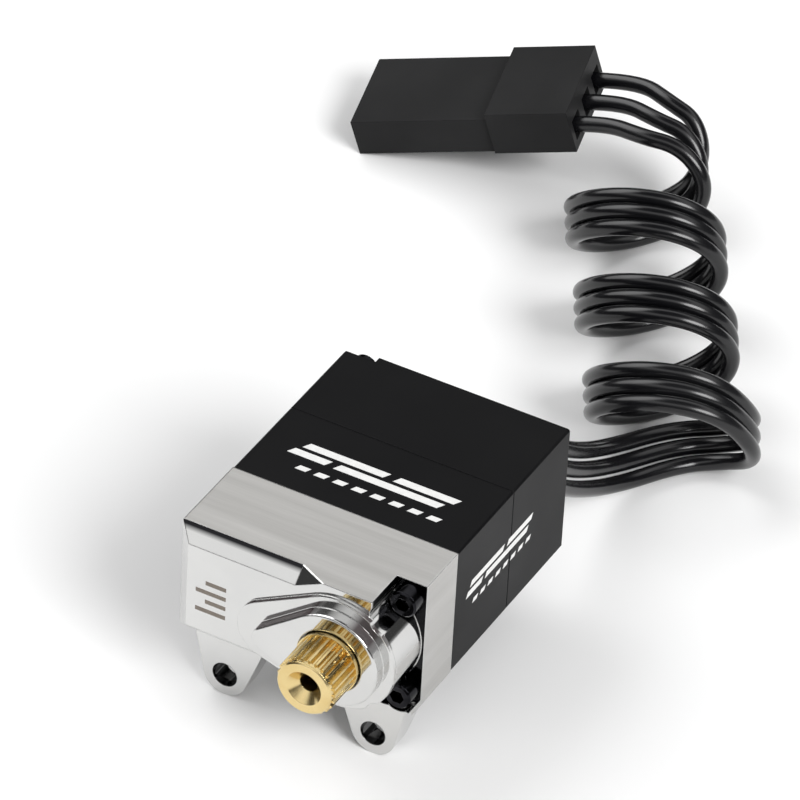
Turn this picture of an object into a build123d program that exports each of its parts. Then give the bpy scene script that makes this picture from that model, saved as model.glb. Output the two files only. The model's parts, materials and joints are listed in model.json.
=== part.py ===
from build123d import *
import math
import os

# Hobby servo motor: a small metal-cased servo lying on its side, its output spline pointing towards -Y.
# Frame, millimetres: X runs along the case, output end at +X. Z is up, with 0 under the tips of the two
# mounting lugs. "Depth" is counted from the back of the case towards the spline, so along -Y.

# ---------------------------------------------------------------- driving dimensions
case_length = 16.4
case_width = 9.7
lug_drop = 4.4            # from the underside of the case down to the tips of the lugs

middle_depth = 7.8        # where the middle case starts
gear_depth = 15.2         # where the gear case starts
ledge_depth = 19.2        # seats of the two front screws
lug_depth = 20.2          # front face of the lugs
front_depth = 22.4        # front face of the gear case
flange_depth = 22.7       # low teardrop around the output
boss_depth = 23.6         # high teardrop around the output
tip_depth = 26.8          # end of the output spline

wall = 0.7                # wall of the middle and bottom cases
post_radius = 1.15        # posts around the case screws
screw_radius = 0.55
screw_hole_radius = 0.65
head_radius = 0.95        # socket heads of the front screws
head_height = 1.2
head_bore_radius = 1.02   # room for those heads beside the boss
front_screw_end = 2.5     # depth that the front screws reach down to
rear_screw_end = 18.2     # depth that the rear screws reach up to
edge_break = 0.12         # small bevel along the outer edges

output_x = 3.8            # axis of the output shaft, second gear and potentiometer
idler_x = -0.2            # axis of the idler pin, with the first and third gears
motor_x = -4.1            # axis of the motor
fine_module = 0.2         # first three gear stages
coarse_module = 0.25      # last gear stage
idler_radius = 0.5
idler_depths = (14.3, 21.4)
running_clearance = 0.03  # radial, between a turning bore and its pin

lug_hole_spacing = 10.9
lug_hole_radius = 0.9
lug_hole_drop = 2.8       # below the underside of the case

wire_diameter = 1.15
wire_pitch = 1.3          # between neighbours in the three-wire ribbon
plug_pin_pitch = 2.54
plug_length = 16.4
plug_body = (7.3, 2.8)
plug_collar = (7.8, 3.4)  # towards the wires, flush with the body underneath
collar_length = 6.1

# ---------------------------------------------------------------- derived places
back_y = tip_depth / 2
axis_z = lug_drop + case_width / 2
half_length = case_length / 2
half_width = case_width / 2
top_z = lug_drop + case_width

screw_up = 3.75           # of all four case screws, above and below the axis
front_screws = [(7.1, axis_z + screw_up), (7.1, axis_z - screw_up)]
rear_screws = [(-6.85, axis_z + screw_up), (-6.85, axis_z - screw_up)]


def level(depth):
    """The plane across the shaft at this depth, its x along X, its y along Z and its normal towards the spline."""
    return Plane(origin=(0, back_y - depth, 0), x_dir=(1, 0, 0), z_dir=(0, -1, 0))


def across(x):
    """The plane across the case's length at this x, its x along -Y (so depth) and its y along Z."""
    return Plane(origin=(x, back_y, 0), x_dir=(0, -1, 0), z_dir=(-1, 0, 0))


def finish(builder, name):
    """Label the piece and write it to its own file."""
    builder.part.label = name
    export_step(builder.part, f"parts/{name}.step")


def gear_outline(teeth, module, phase_deg, at_x):
    """Corners of an involute spur gear, pressure angle 20 degrees, one tooth centred at phase_deg."""
    pitch_r = teeth * module / 2
    base_r = pitch_r * math.cos(math.radians(20))
    root_r = pitch_r - 1.25 * module
    tip_r = pitch_r + 0.95 * module

    def involute(radius):
        angle = math.acos(min(1.0, base_r / radius))
        return math.tan(angle) - angle

    pitch_half = math.pi / (2 * teeth) - 0.04 / pitch_r * module / 0.2
    flank = []
    for radius in (root_r, max(base_r, root_r + 0.02), pitch_r, (pitch_r + tip_r) / 2, tip_r):
        half = pitch_half + involute(pitch_r) - involute(max(radius, base_r))
        flank.append((radius, half))
    corners = []
    for tooth in range(teeth):
        centre = math.radians(phase_deg) + 2 * math.pi * tooth / teeth
        for side in (-1, 1):
            for radius, half in (flank if side < 0 else reversed(flank)):
                turn = centre + side * half
                corners.append((at_x + radius * math.cos(turn), axis_z + radius * math.sin(turn)))
    return corners


def gear_wheel(depth, thickness, outline):
    """Add a toothed wheel to the part being built."""
    with BuildSketch(level(depth)) as wheel:
        with BuildLine():
            Polyline(outline, close=True)
        make_face()
    extrude(wheel.sketch, amount=thickness)


def round_bar(depth, end_depth, radius, at_x, mode=Mode.ADD):
    """Add or cut a cylinder along the shaft direction, between two depths."""
    with BuildSketch(level(depth)) as section:
        with Locations((at_x, axis_z)):
            Circle(radius)
    extrude(section.sketch, amount=end_depth - depth, mode=mode)


def corner_bars(depth, end_depth, radius, places, mode=Mode.ADD):
    """Add or cut the same cylinder at each of the screw places."""
    with BuildSketch(level(depth)) as section:
        with Locations(places):
            Circle(radius)
    extrude(section.sketch, amount=end_depth - depth, mode=mode)


os.makedirs("parts", exist_ok=True)

# ================================================================ cases
# Gear case: the block with the lugs, the two teardrop steps around the output and the gear chamber.
pocket_x = 6.0            # left wall of the two corner pockets at the output end
boss_radius = 4.2
top_bevel = 1.0           # bevel along the upper long edge, at the end away from the output
bevel_end_x = 0.5         # where that bevel stops
bevel_runout = 2.0        # and how far it takes to run out on the front face
lower_slope = 2.15        # 45 degree slope from the front face down to the lugs
lug_back_depth = 16.8
lug_tip_back_depth = 19.1
lug_tip_radius = 1.6
lug_reach = (2.75, 7.7)   # where each lug starts and ends along X, at the underside of the case
lug_holes_x = (-lug_hole_spacing / 2, lug_hole_spacing / 2)
lug_hole_z = lug_drop - lug_hole_drop
teardrop_drop = 0.45      # of the teardrops' small ends, below the output axis
flange_reach = 4.95       # and how far they are from it along X
flange_end_radius = 2.2
step_radius = 3.42
step_reach = 4.78
step_end_radius = 0.85
joining_overlap = 0.01    # between the high step and the low one, so that they join

with BuildPart() as output_step:
    with BuildSketch(level(flange_depth - joining_overlap)):
        with Locations((output_x, axis_z)):
            Circle(step_radius)
        with Locations((output_x - step_reach, axis_z - teardrop_drop)):
            Circle(step_end_radius)
        make_hull()
    extrude(amount=boss_depth - flange_depth + joining_overlap)
    fillet(output_step.faces().sort_by(Axis.Y)[0].edges(), 0.15)

with BuildPart() as gear_case:
    with BuildSketch(level(gear_depth)):
        with Locations((0, axis_z)):
            Rectangle(case_length, case_width)
    extrude(amount=front_depth - gear_depth)
    # bevel of the left edge of the front face
    left_edge = gear_case.edges().filter_by(Axis.Z).group_by(Axis.Y)[0].sort_by(Axis.X)[0]
    chamfer(left_edge, 0.95)
    # slope along the lower edge of the front face
    with BuildSketch(across(half_length)):
        with BuildLine():
            Polyline(
                (front_depth - lower_slope, lug_drop),
                (front_depth, lug_drop + lower_slope),
                (front_depth, lug_drop),
                close=True,
            )
        make_face()
    extrude(amount=case_length, mode=Mode.SUBTRACT)
    # bevel along the upper edge, with its run-out
    with BuildSketch(across(bevel_end_x)):
        with BuildLine():
            Polyline(
                (front_depth - top_bevel, top_z),
                (front_depth, top_z - top_bevel),
                (front_depth, top_z),
                close=True,
            )
        make_face()
    extrude(amount=half_length + bevel_end_x, mode=Mode.SUBTRACT)
    runout_corners = [
        (bevel_end_x, back_y - front_depth + top_bevel, top_z),
        (bevel_end_x, back_y - front_depth, top_z - top_bevel),
        (bevel_end_x + bevel_runout, back_y - front_depth, top_z),
    ]
    extrude(
        Face(Wire.make_polygon(runout_corners)),
        amount=top_bevel,
        dir=(-top_bevel, -bevel_runout, bevel_runout),
        mode=Mode.SUBTRACT,
    )
    # lugs, thinner towards their tips
    for hole_x in lug_holes_x:
        inner_x, outer_x = (math.copysign(reach, hole_x) for reach in lug_reach)
        with BuildSketch(level(lug_back_depth)) as lug_outline:
            with Locations((hole_x, lug_hole_z)):
                Circle(lug_tip_radius)
            with Locations(((outer_x + inner_x) / 2, lug_drop + 0.1)):
                Rectangle(abs(outer_x - inner_x), 0.2)
            make_hull()
        extrude(amount=lug_depth - lug_back_depth)
    with BuildSketch(across(half_length)):
        with BuildLine():
            Polyline(
                (lug_back_depth - 0.1, lug_drop - 0.02),
                (lug_back_depth + 0.2, lug_drop - 0.02),
                (lug_back_depth + 0.75, lug_drop - 1.0),
                (lug_tip_back_depth, -0.1),
                (lug_back_depth - 0.1, -0.1),
                close=True,
            )
        make_face()
    extrude(amount=case_length, mode=Mode.SUBTRACT)
    with BuildSketch(level(lug_depth + 1)):
        with Locations([(x, lug_hole_z) for x in lug_holes_x]):
            Circle(lug_hole_radius)
    extrude(amount=-5, mode=Mode.SUBTRACT)
    # pockets over the two front screws, open at the end face
    with BuildSketch(level(ledge_depth)):
        with Locations(((pocket_x + half_length) / 2, axis_z + 0.55)):
            Rectangle(half_length - pocket_x, case_width - 1.1)
        with Locations(front_screws):
            Circle(1.25)
        with Locations((output_x, axis_z)):
            Circle(boss_radius, mode=Mode.SUBTRACT)
    extrude(amount=front_depth - ledge_depth, mode=Mode.SUBTRACT)
    # boss under the output, kept clear of the screw heads, and the two teardrop steps on it
    with BuildSketch(level(ledge_depth)):
        with Locations((output_x, axis_z)):
            Circle(boss_radius)
        with Locations(front_screws):
            Circle(head_bore_radius, mode=Mode.SUBTRACT)
    extrude(amount=front_depth - ledge_depth)
    with BuildSketch(level(front_depth)):
        with Locations((output_x, axis_z)):
            Circle(boss_radius - 0.02)
        with Locations((output_x - flange_reach, axis_z - teardrop_drop)):
            Circle(flange_end_radius)
        make_hull()
        with Locations(front_screws):
            Circle(head_bore_radius, mode=Mode.SUBTRACT)
    extrude(amount=flange_depth - front_depth)
    add(output_step.part)
    # gear chamber, bearing seat and the holes for shaft, pin and screws
    chamber_depth = 20.4
    chamber_height = 7.1
    motor_well_height = 3.6
    seat_depth = 22.5
    seat_radius = 3.3
    shaft_window_radius = 2.3
    with BuildSketch(level(gear_depth)):
        with Locations(((idler_x + output_x) / 2, axis_z)):
            SlotCenterToCenter(output_x - idler_x, chamber_height)
        with Locations((motor_x / 2, axis_z)):
            SlotCenterToCenter(-motor_x, motor_well_height)
    extrude(amount=chamber_depth - gear_depth, mode=Mode.SUBTRACT)
    round_bar(chamber_depth, seat_depth, seat_radius, output_x, Mode.SUBTRACT)
    round_bar(seat_depth, boss_depth, shaft_window_radius, output_x, Mode.SUBTRACT)
    round_bar(chamber_depth, idler_depths[1], idler_radius, idler_x, Mode.SUBTRACT)
    corner_bars(gear_depth, ledge_depth, screw_hole_radius, front_screws, Mode.SUBTRACT)
    corner_bars(ledge_depth, boss_depth, head_bore_radius, front_screws, Mode.SUBTRACT)
    corner_bars(gear_depth, rear_screw_end, screw_radius, rear_screws, Mode.SUBTRACT)
finish(gear_case, "gear_case")

# Middle case: holds the motor and the potentiometer, with a deck under the gears.
deck_depth = 13.9
with BuildPart() as middle_case:
    with BuildSketch(level(middle_depth)):
        with Locations((0, axis_z)):
            Rectangle(case_length, case_width)
    extrude(amount=gear_depth - middle_depth)
    chamfer(middle_case.edges().filter_by(Axis.Y), edge_break)
    chamfer(middle_case.faces().sort_by(Axis.Y)[-1].edges(), 0.06)
    with BuildSketch(level(middle_depth)):
        with Locations((0, axis_z)):
            Rectangle(case_length - 2 * wall, case_width - 2 * wall)
        with Locations(front_screws + rear_screws):
            Circle(post_radius, mode=Mode.SUBTRACT)
    extrude(amount=deck_depth - middle_depth, mode=Mode.SUBTRACT)
    round_bar(deck_depth, 14.8, 1.0, motor_x, Mode.SUBTRACT)
    round_bar(14.8, gear_depth, 0.6, motor_x, Mode.SUBTRACT)
    round_bar(idler_depths[0], gear_depth, idler_radius, idler_x, Mode.SUBTRACT)
    round_bar(deck_depth, 14.1, 1.0, output_x, Mode.SUBTRACT)
    round_bar(14.1, gear_depth, 1.5, output_x, Mode.SUBTRACT)
    corner_bars(middle_depth, gear_depth, screw_hole_radius, front_screws + rear_screws, Mode.SUBTRACT)
finish(middle_case, "middle_case")

# Bottom case: a tub with four screw posts, a slot for the lead and two recesses for the rear screw heads.
grommet_x = 5.9
grommet_width = 2.2
grommet_height = 4.6
board_depth = 1.8
floor_thickness = 1.0
recess_depth = 0.7
with BuildPart() as bottom_case:
    with BuildSketch(level(0)):
        with Locations((0, axis_z)):
            Rectangle(case_length, case_width)
    extrude(amount=middle_depth)
    chamfer(bottom_case.edges().filter_by(Axis.Y), edge_break)
    chamfer(bottom_case.faces().sort_by(Axis.Y)[0].edges(), 0.06)
    chamfer(bottom_case.faces().sort_by(Axis.Y)[-1].edges(), 0.2)
    with BuildSketch(level(floor_thickness)):
        with Locations((0, axis_z)):
            Rectangle(case_length - 2 * wall, case_width - 2 * wall)
        with Locations(front_screws + rear_screws):
            Circle(post_radius, mode=Mode.SUBTRACT)
    extrude(amount=middle_depth - floor_thickness, mode=Mode.SUBTRACT)
    with BuildSketch(level(0)):
        with Locations([(-half_length + 1.15, z) for _, z in rear_screws]):
            Rectangle(2.3, 2.2)
    extrude(amount=recess_depth, mode=Mode.SUBTRACT)
    corner_bars(0, middle_depth, screw_hole_radius, rear_screws, Mode.SUBTRACT)
    corner_bars(front_screw_end, middle_depth, screw_radius, front_screws, Mode.SUBTRACT)
    with BuildSketch(level(0)):
        with Locations((grommet_x, axis_z)):
            RectangleRounded(grommet_width, grommet_height, 0.6)
    extrude(amount=floor_thickness, mode=Mode.SUBTRACT)
finish(bottom_case, "bottom_case")

# ================================================================ case screws
with BuildPart() as front_case_screws:
    corner_bars(front_screw_end, ledge_depth, screw_radius, front_screws)
    corner_bars(ledge_depth, ledge_depth + head_height, head_radius, front_screws)
    head_rims = front_case_screws.faces().filter_by(Axis.Y).group_by(Axis.Y)[0].edges()
    chamfer(head_rims, 0.12)
    with BuildSketch(level(ledge_depth + head_height)):
        with Locations(front_screws):
            RegularPolygon(0.52, 6)
    extrude(amount=-0.7, mode=Mode.SUBTRACT)
finish(front_case_screws, "front_case_screws")

low_head_height = 0.55
with BuildPart() as rear_case_screws:
    corner_bars(recess_depth, rear_screw_end, screw_radius, rear_screws)
    corner_bars(recess_depth - low_head_height, recess_depth, 0.9, rear_screws)
    with BuildSketch(level(recess_depth - low_head_height)):
        with Locations(rear_screws):
            Rectangle(1.1, 0.3)
            Rectangle(0.3, 1.1)
    extrude(amount=0.35, mode=Mode.SUBTRACT)
finish(rear_case_screws, "rear_case_screws")

# ================================================================ output shaft and bearings
spline_teeth = 25
spline_root = 1.8
spline_tooth = (0.4, 0.4)  # width at its foot and height, from just under the root
collar_depth = 23.95       # front of the plain collar behind the teeth
lead_in = 0.35             # plain end in front of the teeth
output_gear_depth = 18.8
gear_top_depth = 20.2
tail_depth = 11.6

with BuildPart() as output_shaft:
    round_bar(gear_top_depth, collar_depth, 2.2, output_x)
    with BuildSketch(level(collar_depth)):
        with Locations((output_x, axis_z)):
            Circle(spline_root)
            with PolarLocations(spline_root - 0.1, spline_teeth):
                Trapezoid(*spline_tooth, 72, rotation=-90, align=(Align.CENTER, Align.MIN))
    extrude(amount=tip_depth - lead_in - collar_depth)
    round_bar(tip_depth - lead_in, tip_depth, 1.95, output_x)
    front_rim = output_shaft.faces().filter_by(Axis.Y).sort_by(Axis.Y)[0].edges()
    chamfer(front_rim, 0.1)
    gear_wheel(output_gear_depth, gear_top_depth - output_gear_depth,
               gear_outline(22, coarse_module, 180 / 22, output_x))
    round_bar(tail_depth, output_gear_depth, 0.5, output_x)
    # flat at the tail, for the potentiometer
    with BuildSketch(level(tail_depth)):
        with Locations((output_x, axis_z + 0.6)):
            Rectangle(1.2, 0.5)
    extrude(amount=1.9, mode=Mode.SUBTRACT)
    # tapped M1.6 hole for the horn screw, with its countersink
    round_bar(tip_depth - 4.5, tip_depth, 0.625, output_x, Mode.SUBTRACT)
    with BuildSketch(level(tip_depth)):
        with Locations((output_x, axis_z)):
            Circle(1.25)
    extrude(amount=-0.65, taper=44, mode=Mode.SUBTRACT)
finish(output_shaft, "output_shaft")


def ball_bearing(name, depth, width, bore, outer, ball_radius, balls):
    """Write the outer ring, the inner ring and the balls of one bearing on the output axis."""
    track = (bore + outer) / 2
    gap = ball_radius * 0.66
    centre = Plane(origin=(output_x, back_y - depth - width / 2, axis_z), x_dir=(1, 0, 0), z_dir=(0, -1, 0))
    for ring, low, high in (("outer_ring", track + gap, outer), ("inner_ring", bore, track - gap)):
        with BuildPart() as piece:
            with BuildSketch(level(depth)):
                with Locations((output_x, axis_z)):
                    Circle(high)
                    Circle(low, mode=Mode.SUBTRACT)
            extrude(amount=width)
            with Locations(centre):
                Torus(track, ball_radius + 0.02, mode=Mode.SUBTRACT)
        finish(piece, f"{name}_{ring}")
    with BuildPart() as piece:
        with Locations(centre):
            with PolarLocations(track, balls):
                Sphere(ball_radius)
    finish(piece, f"{name}_balls")


ball_bearing("upper_bearing", 20.7, 1.8, 2.2, 3.3, 0.3, 12)
ball_bearing("lower_bearing", 14.1, 1.0, 0.5, 1.5, 0.2, 7)

# ================================================================ gear train
with BuildPart() as idler_pin:
    round_bar(*idler_depths, idler_radius, idler_x)
finish(idler_pin, "idler_pin")

pin_bore = idler_radius + running_clearance


def compound_gear(name, at_x, wheel, pinion):
    """Write a wheel and its pinion made in one piece, each given as depth, thickness and outline."""
    with BuildPart() as piece:
        gear_wheel(*wheel)
        gear_wheel(*pinion)
        round_bar(wheel[0] - 1, wheel[0] + 4, pin_bore, at_x, Mode.SUBTRACT)
    finish(piece, name)


compound_gear(
    "first_gear", idler_x,
    (15.7, 0.8, gear_outline(29, fine_module, 0, idler_x)),
    (16.5, 1.1, gear_outline(10, fine_module, 0, idler_x)),
)
compound_gear(
    "second_gear", output_x,
    (16.7, 0.8, gear_outline(30, fine_module, 6, output_x)),
    (17.5, 1.15, gear_outline(10, fine_module, 0, output_x)),
)
compound_gear(
    "third_gear", idler_x,
    (17.75, 0.8, gear_outline(30, fine_module, 6, idler_x)),
    (18.55, 1.65, gear_outline(10, coarse_module, 0, idler_x)),
)

# ================================================================ motor
can_depth = 3.7
can_radius = 3.4
can_wall = 0.25
shaft_radius = 0.4
with BuildPart() as motor_can:
    round_bar(can_depth, deck_depth, can_radius, motor_x)
    fillet(motor_can.faces().filter_by(Axis.Y).sort_by(Axis.Y)[0].edges(), 0.4)
    round_bar(can_depth, deck_depth - 0.4, can_radius - can_wall, motor_x, Mode.SUBTRACT)
    round_bar(deck_depth - 0.4, deck_depth, 0.9, motor_x, Mode.SUBTRACT)
finish(motor_can, "motor_can")

with BuildPart() as motor_end_cap:
    round_bar(can_depth - 0.5, can_depth, can_radius, motor_x)
    round_bar(can_depth, can_depth + 0.8, can_radius - can_wall, motor_x)
    round_bar(can_depth + 0.1, can_depth + 0.8, shaft_radius + running_clearance, motor_x, Mode.SUBTRACT)
finish(motor_end_cap, "motor_end_cap")

with BuildPart() as motor_bushing:
    round_bar(12.4, 14.8, 0.9, motor_x)
    round_bar(12.4, 14.8, shaft_radius + running_clearance, motor_x, Mode.SUBTRACT)
finish(motor_bushing, "motor_bushing")

with BuildPart() as motor_magnet:
    round_bar(6.6, 13.5, 2.2, motor_x)
    round_bar(6.6, 12.4, shaft_radius + 0.2, motor_x, Mode.SUBTRACT)
    round_bar(12.4, 13.5, 0.9, motor_x, Mode.SUBTRACT)
finish(motor_magnet, "motor_magnet")

with BuildPart() as motor_shaft:
    round_bar(can_depth + 0.15, 16.7, shaft_radius, motor_x)
finish(motor_shaft, "motor_shaft")

with BuildPart() as motor_winding:
    round_bar(5.4, 12.8, 2.85, motor_x)
    round_bar(6.2, 12.8, 2.4, motor_x, Mode.SUBTRACT)
    round_bar(5.4, 6.2, shaft_radius, motor_x, Mode.SUBTRACT)
finish(motor_winding, "motor_winding")

with BuildPart() as motor_pinion:
    gear_wheel(15.5, 1.15, gear_outline(10, fine_module, 0, motor_x))
    round_bar(15.5, 16.65, shaft_radius, motor_x, Mode.SUBTRACT)
finish(motor_pinion, "motor_pinion")

# ================================================================ potentiometer
pot_depth = 10.9
with BuildPart() as potentiometer_body:
    round_bar(pot_depth, deck_depth, 3.2, output_x)
    round_bar(pot_depth + 0.4, deck_depth - 0.4, 2.7, output_x, Mode.SUBTRACT)
    round_bar(deck_depth - 0.4, deck_depth, 1.0, output_x, Mode.SUBTRACT)
finish(potentiometer_body, "potentiometer_body")

with BuildPart() as potentiometer_rotor:
    round_bar(pot_depth + 0.55, pot_depth + 1.2, 2.5, output_x)
    round_bar(pot_depth + 1.2, deck_depth - 0.5, 0.85, output_x)
    round_bar(tail_depth, deck_depth, 0.5, output_x, Mode.SUBTRACT)
finish(potentiometer_rotor, "potentiometer_rotor")

# ================================================================ electronics
board_thickness = 0.6
board_top = board_depth + board_thickness
terminal_places = [(motor_x, axis_z + 2.0), (motor_x, axis_z - 2.0)]
with BuildPart() as circuit_board:
    with BuildSketch(level(board_depth)):
        with Locations((0, axis_z)):
            Rectangle(case_length - 2 * wall - 0.4, case_width - 2 * wall - 0.4)
        with Locations(front_screws + rear_screws):
            Circle(post_radius + 0.2, mode=Mode.SUBTRACT)
        with Locations(terminal_places):
            Rectangle(0.9, 0.25, mode=Mode.SUBTRACT)
    extrude(amount=board_thickness)
finish(circuit_board, "circuit_board")


def board_chip(name, at_x, at_z, length, width, height):
    """Write a flat package that sits on the circuit board."""
    with BuildPart() as piece:
        with BuildSketch(level(board_top)):
            with Locations((at_x, at_z)):
                Rectangle(length, width)
        extrude(amount=height)
        chamfer(piece.faces().sort_by(Axis.Y)[0].edges(), 0.1)
    finish(piece, name)


board_chip("control_chip", motor_x, axis_z, 3.0, 3.0, 0.6)
board_chip("driver_chip", 3.4, axis_z + 2.5, 2.6, 2.0, 0.9)

with BuildPart() as capacitor:
    round_bar(board_top, board_top + 3.6, 1.25, 5.4)
    fillet(capacitor.faces().sort_by(Axis.Y)[0].edges(), 0.2)
finish(capacitor, "capacitor")

with BuildPart() as motor_terminals:
    with BuildSketch(level(board_depth)):
        with Locations(terminal_places):
            Rectangle(0.9, 0.25)
    extrude(amount=can_depth - 0.5 - board_depth)
finish(motor_terminals, "motor_terminals")

with BuildPart() as potentiometer_pins:
    with BuildSketch(level(board_top)):
        with Locations([(output_x - 2.2, axis_z + side * 1.27 - 0.2) for side in (-1, 0, 1)]):
            Rectangle(0.3, 0.3)
    extrude(amount=pot_depth - board_top)
finish(potentiometer_pins, "potentiometer_pins")

# ================================================================ lead: grommet, wires, coil and plug
with BuildPart() as cable_grommet:
    with BuildSketch(level(-0.5)):
        with Locations((grommet_x, axis_z)):
            RectangleRounded(grommet_width + 0.9, grommet_height + 0.9, 0.9)
    extrude(amount=0.5)
    with BuildSketch(level(0)):
        with Locations((grommet_x, axis_z)):
            RectangleRounded(grommet_width, grommet_height, 0.6)
    extrude(amount=floor_thickness + 0.2)
    with BuildSketch(level(-0.5)):
        with Locations([(grommet_x, axis_z + side * wire_pitch) for side in (-1, 0, 1)]):
            Circle(wire_diameter / 2)
    extrude(amount=floor_thickness + 0.7, mode=Mode.SUBTRACT)
finish(cable_grommet, "cable_grommet")

# The lead lies on the surface that the servo lies on. Its three wires stay side by side as a ribbon, wound
# into loops that lean over. The coil's axis runs away from the case, and the stiff coil carries the plug.
coil_heading = math.radians(31.7)        # of the coil's axis, from -Y towards +X
coil_lean = math.radians(30.8)           # of the loops, towards the case
coil_yaw = math.radians(-4.4)            # of the loops, about Z
coil_pitch = 9.74                        # from one loop to the next
coil_turns = (-0.2, 2.5)                # where the coil starts and ends
coil_phase = -0.093                      # turn 0 is this much before a loop's leftmost point
loop_half_width = 4.9
loop_half_height = 4.6
ribbon_tilt = math.radians(20)           # of that step, down from the coil's axis

coil_axis = Vector(math.sin(coil_heading), -math.cos(coil_heading), 0)
coil_across = Vector(math.cos(coil_heading), math.sin(coil_heading), 0)
upright = Vector(0, 0, 1)
loop_across = coil_across * math.cos(coil_yaw) + coil_axis * math.sin(coil_yaw)
loop_up = upright * math.cos(coil_lean) + coil_axis * math.sin(coil_lean)
coil_step = (coil_axis * math.cos(ribbon_tilt) - upright * math.sin(ribbon_tilt)) * wire_pitch
step_drop = wire_pitch * math.sin(ribbon_tilt)
loop_centre_z = loop_half_height * math.cos(coil_lean) + step_drop + wire_diameter / 2
coil_middle = Vector(-4.17, 48.15, loop_centre_z)  # centre of the loops, at turn 0


def coil_point(turn):
    """Where the middle wire is after this many turns of the coil."""
    angle = 2 * math.pi * (turn + coil_phase)
    around = loop_up * (loop_half_height * math.sin(angle)) - loop_across * (loop_half_width * math.cos(angle))
    return coil_middle + coil_axis * (coil_pitch * turn) + around


# The plug leans: its contact end rests on the surface and its wire end is held up.
plug_slope = math.radians(15.7)
plug_heading = math.radians(11.7)        # from +X towards +Y
plug_roll = math.radians(5)              # its near side down
plug_flat = Vector(math.cos(plug_heading), math.sin(plug_heading), 0)
plug_along = plug_flat * math.cos(plug_slope) + upright * math.sin(plug_slope)  # towards the wires
plug_level = plug_along.cross(upright).normalized()
plug_across = plug_level * math.cos(plug_roll) - plug_level.cross(plug_along) * math.sin(plug_roll)
plug_wire_end = Vector(-12.8, 56.1, 6.1)
crimp_depth = 1.0                        # how far each wire goes into the housing, to its contact

# Corners of the middle wire's route, each with the step from there to the next wire of the ribbon.
case_route = [
    ((grommet_x, back_y - board_depth, axis_z), (0, 0, -wire_pitch)),
    ((grommet_x, 15.0, axis_z), (0.1, -0.45, -1.2)),
    ((5.6, 19.2, 5.6), (0.35, -0.75, -1.0)),
    ((5.6, 25.0, 2.0), (0.65, -0.5, -1.0)),
    ((7.9, 30.3, 1.2), (0.85, -0.8, -0.6)),
    ((10.8, 32.0, 1.5), (0.4, -1.1, -0.55)),
    ((13.1, 31.4, 3.1), (0.45, -0.9, -0.85)),
    ((13.6, 29.8, 5.3), (0.65, -1.0, -0.55)),
    (tuple(coil_point(coil_turns[1])), tuple(coil_step)),
]
plug_route = [
    (tuple(plug_wire_end - plug_along * crimp_depth), tuple(plug_across * plug_pin_pitch)),
    ((-10.35, 56.6, 6.8), (-0.05, -2.4, -0.4)),
    ((-6.95, 55.55, 7.1), (-0.05, -2.05, -0.2)),
    ((-4.95, 55.85, 6.7), (0.2, -1.8, 0.05)),
    ((-3.4, 55.5, 5.2), (0.5, -1.4, 0.35)),
    ((-3.1, 55.0, 3.2), (0.95, -1.0, 0.45)),
    ((-4.0, 53.95, 1.6), (1.15, -0.75, -0.15)),
    (tuple(coil_point(coil_turns[0])), tuple(coil_step)),
]


def beside(route, side):
    """The route of the wire that is this many steps from the middle one."""
    return [Vector(corner) + Vector(step) * side for corner, step in route]


def lead_wire(name, route):
    """Write one wire as straight runs joined by arcs, each arc as large as its two runs allow."""
    radii = []
    for before, corner, after in zip(route, route[1:], route[2:]):
        shorter = min((corner - before).length, (after - corner).length)
        turn = (corner - before).get_angle(after - corner)
        radii.append(0.45 * shorter / math.tan(math.radians(turn) / 2))
    with BuildPart() as wire:
        with BuildLine() as path:
            FilletPolyline(*route, radius=radii)
        with BuildSketch(Plane(origin=route[0], z_dir=route[1] - route[0])):
            Circle(wire_diameter / 2)
        sweep(path=path.line)
    finish(wire, name)
    length = sum(edge.length for edge in path.edges())
    expected = math.pi * (wire_diameter / 2) ** 2 * length
    print(f"{name}: length {length:.1f}, volume {wire.part.volume:.2f} of {expected:.2f}, "
          f"radii {[round(radius, 1) for radius in radii]}")


for number, side in enumerate((-1, 0, 1), start=1):
    lead_wire(f"case_wire_{number}", beside(case_route, side))
    lead_wire(f"plug_wire_{number}", beside(plug_route, side))

coil_half_width = loop_half_width + wire_diameter / 2
coil_half_height = loop_half_height + (step_drop + wire_diameter / 2 - 0.02) / math.cos(coil_lean)
coil_start = coil_middle + coil_axis * (coil_pitch * coil_turns[0])
with BuildPart() as lead_coil:
    with BuildSketch(Plane(origin=coil_start, x_dir=loop_across, z_dir=loop_across.cross(loop_up))) as loop:
        Ellipse(coil_half_width, coil_half_height)
    extrude(loop.sketch, amount=coil_pitch * (coil_turns[1] - coil_turns[0]), dir=coil_axis)
finish(lead_coil, "lead_coil")
turn_length = math.hypot(2 * math.pi * math.hypot(loop_half_width, loop_half_height) / math.sqrt(2), coil_pitch)
print(f"lead_coil: about {turn_length * (coil_turns[1] - coil_turns[0]):.0f} of each wire")

# Three-way plug: a housing with a collar towards the wires, and a crimp contact on the end of each wire.
cavity = 1.6
contact_width = 1.3
contact_depth = 4.5                      # from the wires' end of the housing to the contacts' boxes
contact_length = 8.0
plug_plane = Plane(origin=plug_wire_end, x_dir=plug_across, z_dir=plug_along)
pin_places = [(plug_pin_pitch * side, 0) for side in (-1, 0, 1)]
with BuildPart() as plug_housing:
    with BuildSketch(plug_plane):
        with Locations((0, (plug_body[1] - plug_collar[1]) / 2)):
            Rectangle(*plug_collar)
    extrude(amount=-collar_length)
    with BuildSketch(plug_plane):
        Rectangle(*plug_body)
    extrude(amount=-plug_length)
    with BuildSketch(plug_plane):
        with Locations(pin_places):
            Rectangle(cavity, cavity)
    extrude(amount=1.0 - plug_length, mode=Mode.SUBTRACT)
    with BuildSketch(plug_plane.offset(-plug_length)):
        with Locations(pin_places):
            Rectangle(0.9, 0.9)
    extrude(amount=1.5, mode=Mode.SUBTRACT)
finish(plug_housing, "plug_housing")

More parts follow.
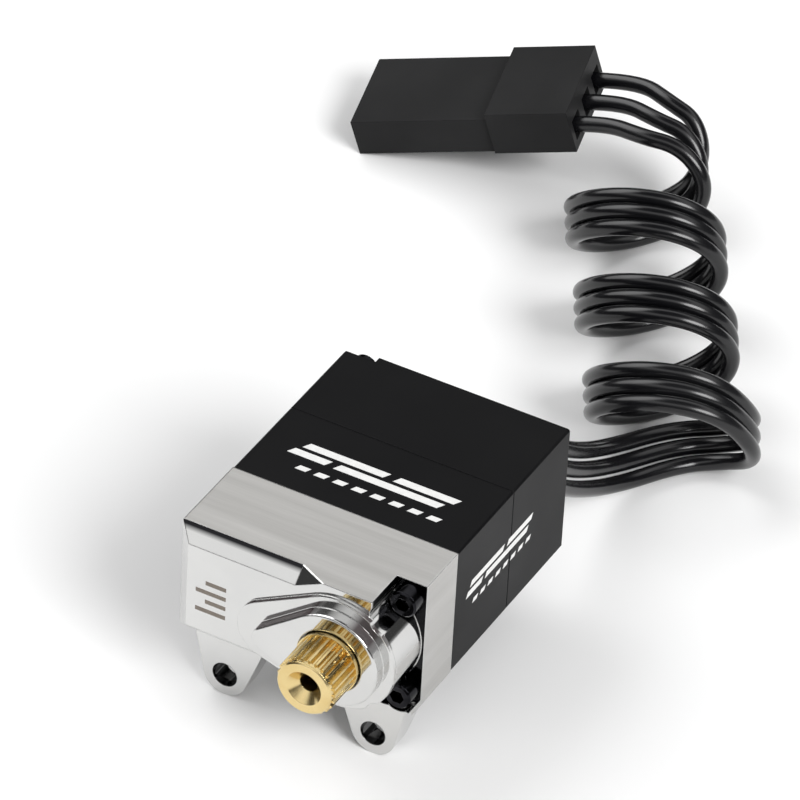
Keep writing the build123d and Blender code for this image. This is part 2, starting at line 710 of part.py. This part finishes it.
with BuildPart() as plug_contacts:
    with BuildSketch(plug_plane.offset(-contact_depth)):
        with Locations(pin_places):
            Rectangle(contact_width, contact_width)
            Rectangle(0.8, 0.8, mode=Mode.SUBTRACT)
    extrude(amount=-contact_length)
    with BuildSketch(plug_plane.offset(-crimp_depth)):
        with Locations(pin_places):
            Rectangle(1.2, 1.2)
    extrude(amount=crimp_depth - contact_depth)
finish(plug_contacts, "plug_contacts")
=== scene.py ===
import json
import math

import bpy
from mathutils import Matrix, Vector


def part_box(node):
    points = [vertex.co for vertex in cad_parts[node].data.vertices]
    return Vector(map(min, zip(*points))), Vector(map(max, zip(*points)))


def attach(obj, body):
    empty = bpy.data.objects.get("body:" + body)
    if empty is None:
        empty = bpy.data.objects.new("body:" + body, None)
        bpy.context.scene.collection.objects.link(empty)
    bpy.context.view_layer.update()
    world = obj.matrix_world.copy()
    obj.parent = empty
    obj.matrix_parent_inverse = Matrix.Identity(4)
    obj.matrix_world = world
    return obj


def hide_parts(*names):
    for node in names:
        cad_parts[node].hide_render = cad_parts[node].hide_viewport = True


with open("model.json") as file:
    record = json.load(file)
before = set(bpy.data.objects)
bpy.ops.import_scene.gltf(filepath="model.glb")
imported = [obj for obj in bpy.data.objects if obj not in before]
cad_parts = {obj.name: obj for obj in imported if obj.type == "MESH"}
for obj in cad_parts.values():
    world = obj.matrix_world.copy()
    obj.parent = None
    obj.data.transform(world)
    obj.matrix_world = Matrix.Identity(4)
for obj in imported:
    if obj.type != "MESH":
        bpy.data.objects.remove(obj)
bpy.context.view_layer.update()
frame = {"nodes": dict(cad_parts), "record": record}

MM = 0.001

# Places from the frame, in metres.
case_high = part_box("middle_case")[1]
spline_low, spline_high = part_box("output_shaft")
top_z = case_high[2]
end_x = case_high[0]
front_y = -9.0 * MM       # front face of the gear case
output_x = (spline_low[0] + spline_high[0]) / 2
axis_z = (spline_low[2] + spline_high[2]) / 2

# Places on the gear case that its material follows, in metres.
boss_radius = 4.2 * MM
pocket_left = 5.9 * MM                    # the corner pockets: left, bottom, back and front
pocket_bottom = 4.5 * MM
pocket_back = -5.7 * MM
pocket_front = -8.85 * MM
lug_hole = (5.45 * MM, 1.6 * MM)          # x and z of the right lug's hole
lug_hole_radius = 0.9 * MM
blend_width = 0.05 * MM                   # over which one finish gives way to the next

# ---------------------------------------------------------------- node helpers
def colour(r, g, b):
    return (r, g, b, 1.0)


def set_stops(ramp, stops):
    """Fill a new colour ramp with these (position, tone) stops, in rising order."""
    first, last = ramp.elements
    for element, (position, tone) in ((first, stops[0]), (last, stops[-1])):
        element.position = position
        element.color = colour(tone, tone, tone)
    for position, tone in stops[1:-1]:
        ramp.elements.new(position).color = colour(tone, tone, tone)


class Nodes:
    """A material's node tree, with short calls that add and link nodes."""

    def __init__(self, name):
        self.material = bpy.data.materials.new(name)
        self.material.use_nodes = True
        self.tree = self.material.node_tree
        self.shader = self.tree.nodes["Principled BSDF"]

    def add(self, kind, inputs=None, **settings):
        node = self.tree.nodes.new(kind)
        for key, value in settings.items():
            setattr(node, key, value)
        for key, value in (inputs or {}).items():
            if isinstance(value, bpy.types.NodeSocket):
                self.tree.links.new(value, node.inputs[key])
            else:
                node.inputs[key].default_value = value
        return node

    def math(self, operation, a, b=0.0, clamp=False):
        return self.add("ShaderNodeMath", {0: a, 1: b}, operation=operation, use_clamp=clamp).outputs[0]

    def mix(self, factor, a, b):
        """Between two colours."""
        return self.add("ShaderNodeMix", {0: factor, 6: a, 7: b}, data_type="RGBA").outputs[2]

    def blend(self, factor, a, b):
        """Between two plain numbers."""
        return self.add("ShaderNodeMix", {0: factor, 2: a, 3: b}).outputs[0]

    def split(self, vector):
        return self.add("ShaderNodeSeparateXYZ", {0: vector}).outputs

    def distance(self, x, y):
        pair = self.add("ShaderNodeCombineXYZ", {0: x, 1: y}).outputs[0]
        return self.add("ShaderNodeVectorMath", {0: pair}, operation="LENGTH").outputs["Value"]

    def tones(self, factor, stops):
        """A ramp through these (position, tone) stops."""
        node = self.add("ShaderNodeValToRGB", {0: factor})
        set_stops(node.color_ramp, stops)
        return node.outputs[0]

    def ramp(self, factor, low, high, to_low=0.0, to_high=1.0):
        """From to_low to to_high as the factor goes from low to high."""
        node = self.add("ShaderNodeMapRange", {0: factor, 1: low, 2: high, 3: to_low, 4: to_high})
        return node.outputs[0]

    def place(self):
        """The point's place in the object, which is its place in the frame at rest."""
        return self.add("ShaderNodeTexCoord").outputs["Object"]

    def stretched(self, scale):
        return self.add("ShaderNodeMapping", {"Vector": self.place(), "Scale": scale}).outputs[0]

    def noise(self, scale, detail=3.0, stretch=(1, 1, 1), roughness=0.5):
        inputs = {"Vector": self.stretched(stretch), "Scale": scale}
        inputs.update({"Detail": detail, "Roughness": roughness})
        return self.add("ShaderNodeTexNoise", inputs).outputs[0]

    def bump(self, height, strength, distance, normal=None):
        inputs = {"Height": height, "Strength": strength, "Distance": distance}
        if normal is not None:
            inputs["Normal"] = normal
        return self.add("ShaderNodeBump", inputs).outputs[0]

    def rounded(self, radius):
        """A normal that goes round the edges at this radius."""
        return self.add("ShaderNodeBevel", {"Radius": radius}, samples=6).outputs[0]

    def set(self, **inputs):
        """Set or link the shader's own inputs, with an underscore for each space."""
        for key, value in inputs.items():
            name = key.replace("_", " ")
            socket = self.shader.inputs[name]
            if isinstance(value, bpy.types.NodeSocket):
                self.tree.links.new(value, socket)
            else:
                socket.default_value = value




# ---------------------------------------------------------------- materials
def gear_case_metal():
    """Polished front and walls, long-grained brushing on the sides that run along the shaft, and painted
    shade on the upper bevel, the step walls, the corner pockets and the lug holes.
    """
    m = Nodes("polished_case")
    facing = m.split(m.add("ShaderNodeTexCoord").outputs["Normal"])
    spot = m.split(m.place())
    rounded = m.rounded(0.13 * MM)
    bent = m.split(rounded)

    # brushed sides, up to the rounding of their edges
    above = m.ramp(spot[2], top_z - 0.15 * MM, top_z - 0.05 * MM)
    top = m.math("MULTIPLY", m.ramp(bent[2], 0.985, 0.998), above)
    ends = m.ramp(m.math("ABSOLUTE", bent[0]), 0.985, 0.998)
    brushed = m.math("MAXIMUM", top, ends)
    grain = m.noise(900, 4, (0.035, 1, 1), 0.7)
    grain_ends = m.noise(900, 4, (1, 0.05, 1), 0.7)
    lines = m.blend(ends, grain, grain_ends)
    mottle = m.noise(180, 3)
    polished_roughness = m.ramp(mottle, 0.3, 0.7, 0.05, 0.1)
    brushed_roughness = m.ramp(lines, 0.3, 0.7, 0.3, 0.46)
    roughness = m.blend(brushed, polished_roughness, brushed_roughness)
    bright = m.mix(m.ramp(lines, 0.3, 0.7), colour(0.58, 0.57, 0.55), colour(0.73, 0.72, 0.7))
    bright = m.mix(m.math("MULTIPLY", ends, 0.2), bright, colour(0.3, 0.3, 0.3))
    polished = m.mix(m.ramp(mottle, 0.3, 0.7), colour(0.62, 0.62, 0.615), colour(0.67, 0.67, 0.66))

    # painted dark reflection: the bevel along the upper edge darkens towards the top, painted near-black
    # where it would mirror the dark overhead
    across_bevel = m.math("SUBTRACT", facing[2], facing[1])
    bevel = m.ramp(across_bevel, 1.38, 1.41)
    painted_reflection_fade = m.ramp(spot[2], top_z - 0.42 * MM, top_z - 0.16 * MM)
    polished = m.mix(m.math("MULTIPLY", bevel, painted_reflection_fade), polished, colour(0.02, 0.02, 0.022))
    base = m.mix(brushed, polished, bright)

    # painted shade: the walls of the teardrop steps are painted dark along their upper left flats and at
    # the right shoulder, where they would mirror dark surroundings
    wall = m.ramp(m.math("ABSOLUTE", facing[1]), 0.35, 0.25)
    on_step = m.ramp(spot[1], front_y - 0.005 * MM, front_y - 0.015 * MM)
    upper = m.ramp(facing[2], 0.1, 0.2)
    around = m.tones(m.ramp(facing[0], -1.0, 1.0), [(0.04, 0.0), (0.13, 1.0), (0.25, 1.0), (0.34, 0.1),
                                                    (0.62, 0.0), (0.73, 0.9), (0.88, 0.9), (0.96, 0.0)])
    painted_wall_shade = m.math("MULTIPLY", m.math("MULTIPLY", wall, on_step), m.math("MULTIPLY", upper, around))
    base = m.mix(painted_wall_shade, base, colour(0.03, 0.016, 0.018))
    # under the painted wall shade the metal turns mostly non-metallic, so it stays dark
    metallic = m.ramp(painted_wall_shade, 0.0, 1.0, 1.0, 0.1)

    # painted shade in the recesses: the corner pockets and the walls of the lug holes are painted
    # near-black
    from_axis = m.distance(m.math("SUBTRACT", spot[0], output_x), m.math("SUBTRACT", spot[2], axis_z))
    outer_skin = 0.02 * MM
    painted_pocket_shade = m.ramp(spot[0], pocket_left, pocket_left + blend_width)
    for edge in (m.ramp(spot[1], pocket_front, pocket_front + blend_width),
                 m.ramp(spot[1], pocket_back, pocket_back - blend_width),
                 m.ramp(from_axis, boss_radius + 0.02 * MM, boss_radius + 0.06 * MM),
                 m.ramp(spot[2], pocket_bottom, pocket_bottom + blend_width),
                 m.ramp(spot[0], end_x - outer_skin, end_x - outer_skin / 2, 1.0, 0.0),
                 m.ramp(spot[2], top_z - outer_skin, top_z - outer_skin / 2, 1.0, 0.0)):
        painted_pocket_shade = m.math("MULTIPLY", painted_pocket_shade, edge)
    from_hole_x = m.math("SUBTRACT", m.math("ABSOLUTE", spot[0]), lug_hole[0])
    from_hole = m.distance(from_hole_x, m.math("SUBTRACT", spot[2], lug_hole[1]))
    painted_hole_shade = m.math("MULTIPLY", m.ramp(from_hole, lug_hole_radius + 0.02 * MM, lug_hole_radius), 0.85)
    base = m.mix(m.math("MAXIMUM", painted_pocket_shade, painted_hole_shade), base, colour(0.015, 0.015, 0.016))

    height = m.math("MULTIPLY", lines, brushed)
    m.set(Base_Color=base, Metallic=metallic, Roughness=roughness, Specular_IOR_Level=0.1,
          Normal=m.bump(height, 0.25, 0.02 * MM, rounded))
    return m.material


def anodised():
    """Satin black anodising."""
    m = Nodes("black_anodised")
    fine = m.noise(2600, 2)
    broad = m.noise(120, 3)
    base = m.mix(m.ramp(broad, 0.3, 0.7), colour(0.0035, 0.0035, 0.004), colour(0.006, 0.006, 0.0065))
    m.set(Base_Color=base, Metallic=0.0, Roughness=m.ramp(broad, 0.3, 0.7, 0.36, 0.44),
          Specular_IOR_Level=0.1, Normal=m.bump(fine, 0.12, 0.01 * MM, m.rounded(0.1 * MM)))
    return m.material


def metal(name, base_low, base_high, rough_low, rough_high, scale=400, edge=0.04, stretch=(1, 1, 1)):
    """A bare or plated metal, its colour and its roughness clouded between two values."""
    m = Nodes(name)
    cloud = m.noise(scale, 4, stretch, 0.6)
    m.set(Base_Color=m.mix(m.ramp(cloud, 0.35, 0.65), colour(*base_low), colour(*base_high)), Metallic=1.0,
          Roughness=m.ramp(cloud, 0.3, 0.7, rough_low, rough_high),
          Normal=m.bump(cloud, 0.06, 0.01 * MM, m.rounded(edge * MM)))
    return m.material


def plastic(name, base_low, base_high, rough_low, rough_high, scale=1500, strength=0.1, edge=0.08,
            gloss=0.5):
    """A moulded plastic or rubber with a fine grain."""
    m = Nodes(name)
    grain = m.noise(scale, 3)
    cloud = m.noise(scale / 12, 2)
    m.set(Base_Color=m.mix(m.ramp(cloud, 0.35, 0.65), colour(*base_low), colour(*base_high)), Metallic=0.0,
          Roughness=m.ramp(cloud, 0.3, 0.7, rough_low, rough_high), Specular_IOR_Level=gloss,
          Normal=m.bump(grain, strength, 0.02 * MM, m.rounded(edge * MM)))
    return m.material


def paint(name, tone):
    """A matt print."""
    m = Nodes(name)
    speck = m.noise(3000, 2)
    m.set(Base_Color=m.mix(m.ramp(speck, 0.4, 0.6), colour(*[c * 0.94 for c in tone]), colour(*tone)),
          Roughness=m.ramp(speck, 0.3, 0.7, 0.5, 0.6))
    return m.material


materials = {
    "polished_aluminium": gear_case_metal(),
    "black_anodised": anodised(),
    "black_steel": metal("black_oxide", (0.012, 0.012, 0.014), (0.03, 0.03, 0.034), 0.12, 0.22, 700),
    "spline_brass": metal("spline_brass", (0.7, 0.53, 0.24), (0.78, 0.62, 0.31), 0.17, 0.26, 500, 0.03),
    "bearing_steel": metal("ground_steel", (0.55, 0.56, 0.58), (0.68, 0.69, 0.7), 0.15, 0.25, 600),
    "gear_brass": metal("gear_brass", (0.6, 0.44, 0.19), (0.74, 0.57, 0.28), 0.22, 0.34, 600),
    "gear_steel": metal("gear_steel", (0.38, 0.38, 0.4), (0.52, 0.52, 0.54), 0.25, 0.38, 600),
    "motor_steel": metal("nickel_plate", (0.6, 0.59, 0.56), (0.7, 0.69, 0.66), 0.18, 0.3, 300),
    "ferrite": plastic("ferrite", (0.05, 0.05, 0.055), (0.09, 0.09, 0.095), 0.55, 0.7),
    "copper_winding": metal("enamelled_copper", (0.5, 0.2, 0.07), (0.75, 0.36, 0.16), 0.25, 0.4, 300,
                            stretch=(1, 8, 1)),
    "contact_tin": metal("tinned", (0.6, 0.6, 0.58), (0.75, 0.75, 0.72), 0.25, 0.4),
    "contact_gold": metal("gold_plate", (0.8, 0.58, 0.25), (0.9, 0.7, 0.35), 0.18, 0.28),
    "moulded_plastic": plastic("moulded_plastic", (0.035, 0.035, 0.04), (0.05, 0.05, 0.055), 0.45, 0.55),
    "board": plastic("solder_mask", (0.006, 0.09, 0.03), (0.01, 0.13, 0.045), 0.22, 0.32, 500, 0.05),
    "chip_epoxy": plastic("chip_epoxy", (0.02, 0.02, 0.022), (0.035, 0.035, 0.037), 0.5, 0.62),
    "wire_rubber": plastic("rubber", (0.012, 0.012, 0.012), (0.02, 0.02, 0.02), 0.55, 0.7),
    "wire_insulation": plastic("wire_insulation", (0.004, 0.004, 0.005), (0.008, 0.008, 0.009), 0.17, 0.25,
                               900, 0.03),
    "plug_plastic": plastic("plug_plastic", (0.013, 0.013, 0.0135), (0.019, 0.019, 0.0195), 0.5, 0.6,
                            1800, 0.2, gloss=0.12),
}
white_print = paint("white_print", (0.8, 0.8, 0.79))
etch = paint("etched_mark", (0.2, 0.17, 0.14))

for part in frame["record"]["subparts"]:
    node = frame["nodes"][part["node"]]
    node.data.materials.clear()
    node.data.materials.append(materials[part["material_slot"]])


# ---------------------------------------------------------------- pieces
def piece(name, verts, faces, material, body):
    """A new mesh that rides on a body."""
    mesh = bpy.data.meshes.new(name)
    mesh.from_pydata(verts, [], faces)
    mesh.materials.append(material)
    made = bpy.data.objects.new(name, mesh)
    bpy.context.scene.collection.objects.link(made)
    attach(made, body)


def printed(name, outlines, origin, right, up, material, thickness=0.012 * MM):
    """Flat shapes, each a list of (x, y) in millimetres, as a thin raised layer on a face."""
    out = right.cross(up)
    verts = []
    faces = []
    for outline in outlines:
        first = len(verts)
        count = len(outline)
        for lift in (-thickness, thickness):
            verts += [origin + right * (x * MM) + up * (y * MM) + out * lift for x, y in outline]
        faces.append([first + i for i in reversed(range(count))])
        faces.append([first + count + i for i in range(count)])
        faces += [[first + i, first + (i + 1) % count, first + count + (i + 1) % count, first + count + i]
                  for i in range(count)]
    piece(name, verts, faces, material, "case")


def bar(x, y, length, height, slant):
    """A slanted bar from its lower left corner."""
    return [(x, y), (x + length, y), (x + length + slant, y + height), (x + slant, y + height)]


def emblem(size):
    """A generic mark: three slanted bars of different length, with a row of dashes underneath."""
    shapes = [bar(0.0, 1.3, 2.6, 0.55, 0.3), bar(0.6, 2.15, 5.6, 0.55, 0.3), bar(3.2, 1.3, 7.2, 0.55, 0.3),
              bar(6.9, 2.15, 4.2, 0.55, 0.3)]
    shapes += [bar(1.2 + step * 1.3, 0.1, 0.75, 0.42, 0.2) for step in range(8)]
    return [[(x * size, y * size) for x, y in shape] for shape in shapes]


X = Vector((1, 0, 0))
Y = Vector((0, 1, 0))
Z = Vector((0, 0, 1))
printed("case_top_mark", emblem(1.05), Vector((-6.1 * MM, 0.1 * MM, top_z)), X, Y, white_print)
printed("case_end_mark", emblem(0.78), Vector((end_x, -0.3 * MM, 8.3 * MM)), Y, Z, white_print)
tally = [bar(step * 0.75, 0.0, 0.32, 1.5 if step % 2 else 2.2, 0.0) for step in range(4)]
printed("case_front_mark", tally, Vector((-4.4 * MM, front_y, 8.1 * MM)), Z, -X, etch, 0.006 * MM)

# ---------------------------------------------------------------- lead
# Sizes and places of the lead are in millimetres, as its route is.
WIRE = 1.15
PITCH = 1.3                               # between neighbours in the ribbon
PIN_PITCH = 2.54
heading = math.radians(31.7)              # of the coil's axis, from -Y towards +X
lean = math.radians(30.8)                 # of the loops, towards the case
yaw = math.radians(-4.4)                  # of the loops, about Z
tilt = math.radians(20)                   # of the step from wire to wire, down from the coil's axis
coil_turns = (-0.2, 2.5)
coil_pitch = 9.74
coil_phase = -0.093
loop_half_width = 4.9
loop_half_height = 4.6
coil_axis = Vector((math.sin(heading), -math.cos(heading), 0))
coil_across = Vector((math.cos(heading), math.sin(heading), 0))
loop_across = coil_across * math.cos(yaw) + coil_axis * math.sin(yaw)
loop_up = Z * math.cos(lean) + coil_axis * math.sin(lean)
coil_step = (coil_axis * math.cos(tilt) - Z * math.sin(tilt)) * PITCH
loop_centre_z = loop_half_height * math.cos(lean) + PITCH * math.sin(tilt) + WIRE / 2
coil_middle = Vector((-4.17, 48.15, loop_centre_z))
points_per_turn = 16
# control points lie a little outside the ellipse that the spline draws between them
swell = 1 / math.cos(math.pi / points_per_turn)


def coil_corner(turn):
    """The middle wire's control point after this many turns of the coil."""
    angle = 2 * math.pi * (turn + coil_phase)
    up = loop_half_height * math.sin(angle)
    across = loop_half_width * math.cos(angle)
    return coil_middle + coil_axis * (coil_pitch * turn) + (loop_up * up - loop_across * across) * swell


plug_slope = math.radians(15.7)           # its wire end up
plug_heading = math.radians(11.7)         # from +X towards +Y
plug_roll = math.radians(5)               # its near side down
plug_along = Vector((math.cos(plug_slope) * math.cos(plug_heading),
                     math.cos(plug_slope) * math.sin(plug_heading), math.sin(plug_slope)))
plug_level = plug_along.cross(Z).normalized()
plug_across = plug_level * math.cos(plug_roll) - plug_level.cross(plug_along) * math.sin(plug_roll)
plug_wire_end = Vector((-12.8, 56.1, 6.1))

# Corners of the middle wire's route in millimetres, each with the step from there to the next wire.
case_route = [
    ((5.9, 11.6, 9.25), (0, 0, -PITCH)),
    ((5.9, 15.0, 9.25), (0.1, -0.45, -1.2)),
    ((5.6, 19.2, 5.6), (0.35, -0.75, -1.0)),
    ((5.6, 25.0, 2.0), (0.65, -0.5, -1.0)),
    ((7.9, 30.3, 1.2), (0.85, -0.8, -0.6)),
    ((10.8, 32.0, 1.5), (0.4, -1.1, -0.55)),
    ((13.1, 31.4, 3.1), (0.45, -0.9, -0.85)),
    ((13.6, 29.8, 5.3), (0.65, -1.0, -0.55)),
]
plug_route = [
    (tuple(plug_wire_end - plug_along), tuple(plug_across * PIN_PITCH)),
    ((-10.35, 56.6, 6.8), (-0.05, -2.4, -0.4)),
    ((-6.95, 55.55, 7.1), (-0.05, -2.05, -0.2)),
    ((-4.95, 55.85, 6.7), (0.2, -1.8, 0.05)),
    ((-3.4, 55.5, 5.2), (0.5, -1.4, 0.35)),
    ((-3.1, 55.0, 3.2), (0.95, -1.0, 0.45)),
    ((-4.0, 53.95, 1.6), (1.15, -0.75, -0.15)),
]
coil_steps = round((coil_turns[1] - coil_turns[0]) * points_per_turn)
coil_route = [(coil_corner(coil_turns[1] - step / points_per_turn), coil_step)
              for step in range(coil_steps + 1)]
lead_route = case_route + coil_route + plug_route[::-1]


def wire(number, side):
    """One wire of the ribbon, from the board through the grommet and the coil to the plug."""
    route = [Vector(corner) + Vector(step) * side for corner, step in lead_route]
    curve = bpy.data.curves.new(f"lead_wire_{number}", "CURVE")
    curve.dimensions = "3D"
    spline = curve.splines.new("NURBS")
    spline.points.add(len(route) - 1)
    for point, corner in zip(spline.points, route):
        point.co = (*(corner * MM), 1.0)
    spline.order_u = 3
    spline.use_endpoint_u = True
    spline.resolution_u = 8
    curve.bevel_depth = WIRE / 2 * MM
    curve.bevel_resolution = 6
    curve.use_fill_caps = True
    curve.materials.append(materials["wire_insulation"])
    made = bpy.data.objects.new(f"lead_wire_{number}", curve)
    bpy.context.scene.collection.objects.link(made)
    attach(made, "case")
    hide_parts(f"case_wire_{number}", f"plug_wire_{number}", "lead_coil")


for number, side in enumerate((-1, 0, 1), start=1):
    wire(number, side)


# ---------------------------------------------------------------- floor, light and camera
def floor():
    """A plain pale floor."""
    size = 1.2
    mesh = bpy.data.meshes.new("floor")
    corners = [(-size, -size, 0), (size, -size, 0), (size, size, 0), (-size, size, 0)]
    mesh.from_pydata(corners, [], [(0, 1, 2, 3)])
    m = Nodes("floor_paper")
    m.set(Base_Color=colour(0.93, 0.93, 0.93), Roughness=0.9, Specular_IOR_Level=0.1)
    mesh.materials.append(m.material)
    made = bpy.data.objects.new("floor", mesh)
    bpy.context.scene.collection.objects.link(made)


def sun(name, towards, strength, spread):
    """A broad, soft light from this direction."""
    light = bpy.data.lights.new(name, "SUN")
    light.energy = strength
    light.angle = math.radians(spread)
    made = bpy.data.objects.new(name, light)
    bpy.context.scene.collection.objects.link(made)
    made.rotation_euler = Vector(towards).to_track_quat("Z", "Y").to_euler()


def sky():
    """A light tent: a bright ring halfway up, dark below it and overhead."""
    world = bpy.data.worlds.new("tent")
    bpy.context.scene.world = world
    world.use_nodes = True
    tree = world.node_tree
    place = tree.nodes.new("ShaderNodeTexCoord")
    split = tree.nodes.new("ShaderNodeSeparateXYZ")
    tree.links.new(place.outputs["Generated"], split.inputs[0])
    ramp = tree.nodes.new("ShaderNodeValToRGB")
    tree.links.new(split.outputs[2], ramp.inputs[0])
    set_stops(ramp.color_ramp, [(0.0, 0.3), (0.06, 0.05), (0.5, 0.05), (0.6, 0.6), (0.7, 1.0), (0.84, 1.0),
                                (0.9, 0.05), (1.0, 0.03)])
    background = tree.nodes["Background"]
    tree.links.new(ramp.outputs[0], background.inputs[0])
    background.inputs[1].default_value = 1.15


def camera():
    """A long lens, above and to the right of the spline."""
    data = bpy.data.cameras.new("camera")
    data.lens = 337.5
    data.sensor_width = 36
    data.clip_end = 5
    made = bpy.data.objects.new("camera", data)
    bpy.context.scene.collection.objects.link(made)
    right = Vector((0.8729, 0.4858, 0.0459))
    up = Vector((-0.3295, 0.5173, 0.7898))
    back = right.cross(up)
    place = Vector((0.1718, -0.3313, 0.3104))
    rows = [(right[i], up[i], back[i], place[i]) for i in range(3)]
    made.matrix_world = Matrix((*rows, (0, 0, 0, 1)))
    bpy.context.scene.camera = made


floor()
sky()
sun("key", (0.75, -0.35, 0.6), 2.4, 30)
sun("fill", (-0.8, 0.1, 0.75), 1.2, 50)
bpy.context.scene.view_settings.view_transform = "Standard"
camera()
